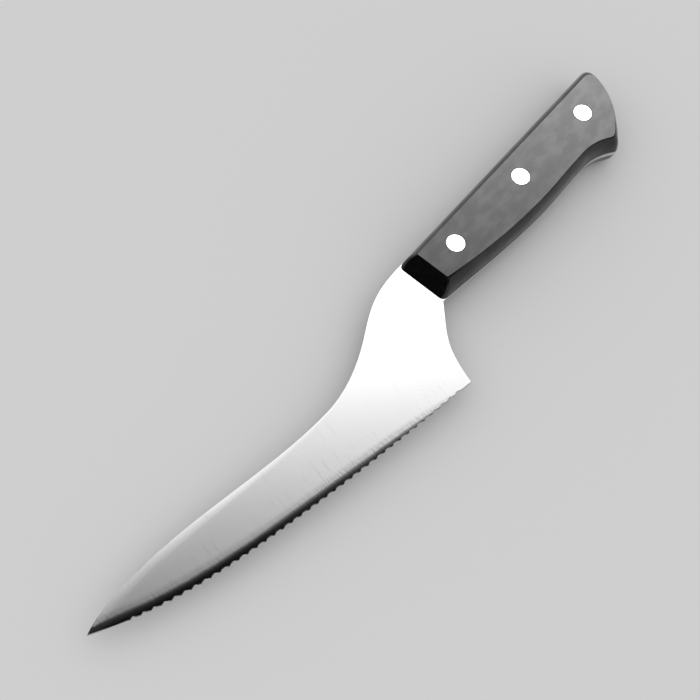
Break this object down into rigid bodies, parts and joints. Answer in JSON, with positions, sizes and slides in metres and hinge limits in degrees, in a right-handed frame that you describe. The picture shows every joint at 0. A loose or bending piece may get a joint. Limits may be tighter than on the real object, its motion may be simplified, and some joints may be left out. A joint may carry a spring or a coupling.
{
  "type": "offset bread knife",
  "caption": "Offset bread knife with an S-shaped neck, a fluted wavy edge, a full tang and black riveted handle scales; slices bread with the knuckles clear of the board.",
  "frame": {"origin": "under the middle of the knife's box, on the surface that it lies on", "axes": "+X towards the butt of the handle, along the line of the rivets; +Y towards the spine; +Z out of the left face of the blade, up when the knife lies on its right-hand scale"},
  "size_m": [0.2794, 0.0474, 0.016],
  "materials": {
    "blade_steel": "satin, ground across the blade",
    "handle_laminate": "black resin laminate, semi-gloss",
    "rivet_steel": "polished flush"
  },
  "bodies": {
    "root": {"blade": "blade_steel", "left_scale": "handle_laminate", "right_scale": "handle_laminate", "rivet_tube_1": "rivet_steel", "rivet_pin_1": "rivet_steel", "rivet_tube_2": "rivet_steel", "rivet_pin_2": "rivet_steel", "rivet_tube_3": "rivet_steel", "rivet_pin_3": "rivet_steel"}
  },
  "joints": []
}
